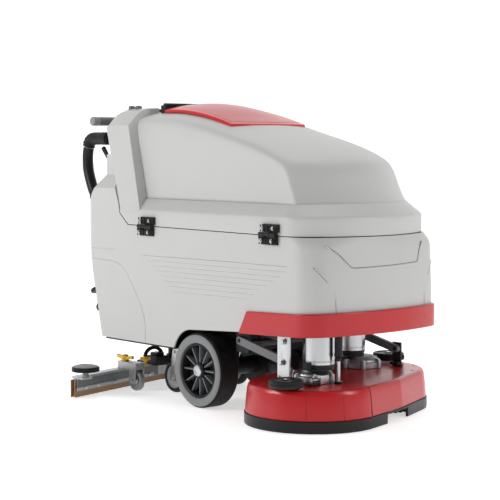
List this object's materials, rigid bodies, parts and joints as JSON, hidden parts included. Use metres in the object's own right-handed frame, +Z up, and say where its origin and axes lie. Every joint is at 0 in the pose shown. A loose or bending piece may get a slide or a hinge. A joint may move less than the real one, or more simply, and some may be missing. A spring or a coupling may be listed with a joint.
{
  "type": "wet dry floor scrubber",
  "caption": "Walk-behind wet dry floor scrubber with a tilting recovery tank, a lifting deck of disc brushes and a trailing V squeegee on wheels.",
  "frame": {"origin": "on the floor, under the middle of the machine's box without its hoses", "axes": "+X forward, towards the brush deck; +Y to the machine's left; +Z up"},
  "size_m": [1.4813, 1.086, 1.0986],
  "materials": {
    "shell_grey": "satin moulded",
    "signal_red": "gloss moulded",
    "black_plastic": "fine textured",
    "black_steel": "powder coated",
    "tread_rubber": "moulded",
    "black_rubber": "moulded",
    "grey_rubber": "non-marking",
    "blade_rubber": "smooth translucent",
    "steel": "zinc plated",
    "cast_alloy": "as cast",
    "bar_grey": "powder coated",
    "yellow": "satin",
    "battery_case": "ribbed"
  },
  "bodies": {
    "chassis": {"base_shell": "shell_grey", "front_band": "signal_red", "chassis_frame": "black_steel", "solution_tank": "shell_grey", "battery_right": "battery_case", "battery_left": "battery_case", "vacuum_motor": "black_plastic", "transaxle": "black_steel", "handlebar": "bar_grey", "hinge_lower_front": "black_plastic", "hinge_lower_rear": "black_plastic", "hose_cuff": "black_plastic", "recovery_hose": "black_rubber", "hose_elbow": "black_plastic", "tap_body": "black_plastic"},
    "tank": {"recovery_tank": "shell_grey", "hinge_upper_front": "black_plastic", "hinge_upper_rear": "black_plastic", "lid_hinge": "black_plastic", "dash_panel": "black_plastic"},
    "lid": {"lid": "signal_red"},
    "key": {"key_switch": "steel"},
    "stop_button": {"stop_button": "signal_red"},
    "lever": {"squeegee_lever": "black_plastic"},
    "tap": {"tap_knob": "black_plastic"},
    "squeegee_carrier": {"squeegee_carrier": "black_steel"},
    "squeegee": {"squeegee_body": "cast_alloy", "squeegee_blade_front": "blade_rubber", "squeegee_blade_rear": "blade_rubber", "squeegee_hose": "black_rubber"},
    "lower_yoke": {"lower_yoke": "steel"},
    "upper_link": {"upper_link": "steel"},
    "deck": {"deck_cover": "signal_red", "skirt_right": "black_rubber", "skirt_left": "black_rubber", "gearbox_right": "cast_alloy", "gearbox_left": "cast_alloy", "brush_motor_right": "steel", "brush_motor_left": "steel", "upright_plate_right": "steel", "upright_plate_left": "black_steel", "deck_strut": "black_steel"},
    "drive_wheel_right": {"tyre_right": "tread_rubber", "rim_right": "black_plastic"},
    "caster_right": {"caster_fork_right": "steel"},
    "caster_wheel_right": {"caster_wheel_right": "tread_rubber"},
    "support_wheel_right": {"support_wheel_right": "grey_rubber"},
    "tip_roller_right": {"tip_roller_right": "grey_rubber"},
    "wing_knob_right": {"wing_knob_right": "yellow"},
    "brush_right": {"brush_right": "black_rubber"},
    "deck_roller_right": {"deck_roller_right": "black_plastic"},
    "drive_wheel_left": {"tyre_left": "tread_rubber", "rim_left": "black_plastic"},
    "caster_left": {"caster_fork_left": "steel"},
    "caster_wheel_left": {"caster_wheel_left": "tread_rubber"},
    "support_wheel_left": {"support_wheel_left": "grey_rubber"},
    "tip_roller_left": {"tip_roller_left": "grey_rubber"},
    "wing_knob_left": {"wing_knob_left": "yellow"},
    "brush_left": {"brush_left": "black_rubber"},
    "deck_roller_left": {"deck_roller_left": "black_plastic"}
  },
  "joints": [
    {"name": "tank_tilt", "type": "hinge", "parent": "chassis", "child": "tank", "pos_m": [0.0283, -0.326, 0.64], "axis": [1, 0, 0], "range_deg": [0, 75]},
    {"name": "lid_open", "type": "hinge", "parent": "tank", "child": "lid", "pos_m": [-0.3517, 0, 1.09], "axis": [0, -1, 0], "range_deg": [0, 70]},
    {"name": "key_turn", "type": "hinge", "parent": "tank", "child": "key", "pos_m": [-0.4917, 0.06, 1.06], "axis": [0, 0, -1], "range_deg": [0, 90]},
    {"name": "stop_press", "type": "slide", "parent": "tank", "child": "stop_button", "axis": [0, 0, -1], "range_m": [0, 0.003], "stiffness_N_per_m": 400, "springref_m": -0.001},
    {"name": "squeegee_lift", "type": "hinge", "parent": "chassis", "child": "squeegee_carrier", "pos_m": [-0.3167, 0, 0.16], "axis": [0, 1, 0], "range_deg": [0, 11]},
    {"name": "lever_swing", "type": "hinge", "parent": "chassis", "child": "lever", "pos_m": [-0.5717, -0.266, 0.884], "axis": [0, -1, 0], "range_deg": [0, 60]},
    {"name": "squeegee_swivel", "type": "hinge", "parent": "squeegee_carrier", "child": "squeegee", "pos_m": [-0.5167, 0, 0.09], "axis": [0, 0, 1], "range_deg": [-12, 12]},
    {"name": "tap_turn", "type": "hinge", "parent": "chassis", "child": "tap", "pos_m": [-0.63388, -0.262, 0.316], "axis": [-0.4794, 0, 0.8776], "range_deg": [0, 270]},
    {"name": "lower_yoke_lift", "type": "hinge", "parent": "chassis", "child": "lower_yoke", "pos_m": [0.2083, 0, 0.257], "axis": [0, -1, 0], "range_deg": [0, 11]},
    {"name": "upper_link_lift", "type": "hinge", "parent": "chassis", "child": "upper_link", "pos_m": [0.2173, -0.268, 0.329], "axis": [0, -1, 0], "range_deg": [0, 11]},
    {"name": "deck_level", "type": "hinge", "parent": "lower_yoke", "child": "deck", "pos_m": [0.4463, 0, 0.206], "axis": [0, -1, 0], "range_deg": [-11, 0]},
    {"name": "drive_wheel_right_roll", "type": "hinge", "parent": "chassis", "child": "drive_wheel_right", "pos_m": [0.0283, -0.276, 0.135], "axis": [0, 1, 0], "continuous": true},
    {"name": "caster_right_swivel", "type": "hinge", "parent": "chassis", "child": "caster_right", "pos_m": [-0.2717, -0.15, 0.18], "axis": [0, 0, 1], "continuous": true},
    {"name": "caster_right_roll", "type": "hinge", "parent": "caster_right", "child": "caster_wheel_right", "pos_m": [-0.3037, -0.15, 0.06], "axis": [0, 1, 0], "continuous": true},
    {"name": "support_wheel_right_roll", "type": "hinge", "parent": "squeegee", "child": "support_wheel_right", "pos_m": [-0.4327, -0.244, 0.04], "axis": [0, 1, 0], "continuous": true},
    {"name": "tip_roller_right_spin", "type": "hinge", "parent": "squeegee", "child": "tip_roller_right", "pos_m": [-0.4197, -0.49, 0.1], "axis": [0, 0, 1], "continuous": true},
    {"name": "wing_knob_right_turn", "type": "hinge", "parent": "squeegee", "child": "wing_knob_right", "pos_m": [-0.50718, -0.244, 0.114], "axis": [0, 0, 1], "range_deg": [-90, 90]},
    {"name": "brush_right_spin", "type": "hinge", "parent": "deck", "child": "brush_right", "pos_m": [0.5023, -0.195, 0.06], "axis": [0, 0, 1], "continuous": true},
    {"name": "deck_roller_right_spin", "type": "hinge", "parent": "deck", "child": "deck_roller_right", "pos_m": [0.5743, -0.385, 0.15], "axis": [0, 0, 1], "continuous": true},
    {"name": "drive_wheel_left_roll", "type": "hinge", "parent": "chassis", "child": "drive_wheel_left", "pos_m": [0.0283, 0.276, 0.135], "axis": [0, 1, 0], "continuous": true},
    {"name": "caster_left_swivel", "type": "hinge", "parent": "chassis", "child": "caster_left", "pos_m": [-0.2717, 0.15, 0.18], "axis": [0, 0, 1], "continuous": true},
    {"name": "caster_left_roll", "type": "hinge", "parent": "caster_left", "child": "caster_wheel_left", "pos_m": [-0.3037, 0.15, 0.06], "axis": [0, 1, 0], "continuous": true},
    {"name": "support_wheel_left_roll", "type": "hinge", "parent": "squeegee", "child": "support_wheel_left", "pos_m": [-0.4327, 0.244, 0.04], "axis": [0, 1, 0], "continuous": true},
    {"name": "tip_roller_left_spin", "type": "hinge", "parent": "squeegee", "child": "tip_roller_left", "pos_m": [-0.4197, 0.49, 0.1], "axis": [0, 0, 1], "continuous": true},
    {"name": "wing_knob_left_turn", "type": "hinge", "parent": "squeegee", "child": "wing_knob_left", "pos_m": [-0.50718, 0.244, 0.114], "axis": [0, 0, 1], "range_deg": [-90, 90]},
    {"name": "brush_left_spin", "type": "hinge", "parent": "deck", "child": "brush_left", "pos_m": [0.3863, 0.185, 0.06], "axis": [0, 0, 1], "continuous": true},
    {"name": "deck_roller_left_spin", "type": "hinge", "parent": "deck", "child": "deck_roller_left", "pos_m": [0.3263, 0.353, 0.15], "axis": [0, 0, 1], "continuous": true}
  ],
  "couplings": [
    {"joint": "upper_link_lift", "follows": "lower_yoke_lift", "ratio": 1},
    {"joint": "deck_level", "follows": "lower_yoke_lift", "ratio": -1},
    {"joint": "lever_swing", "follows": "squeegee_lift", "ratio": 5.45}
  ]
}
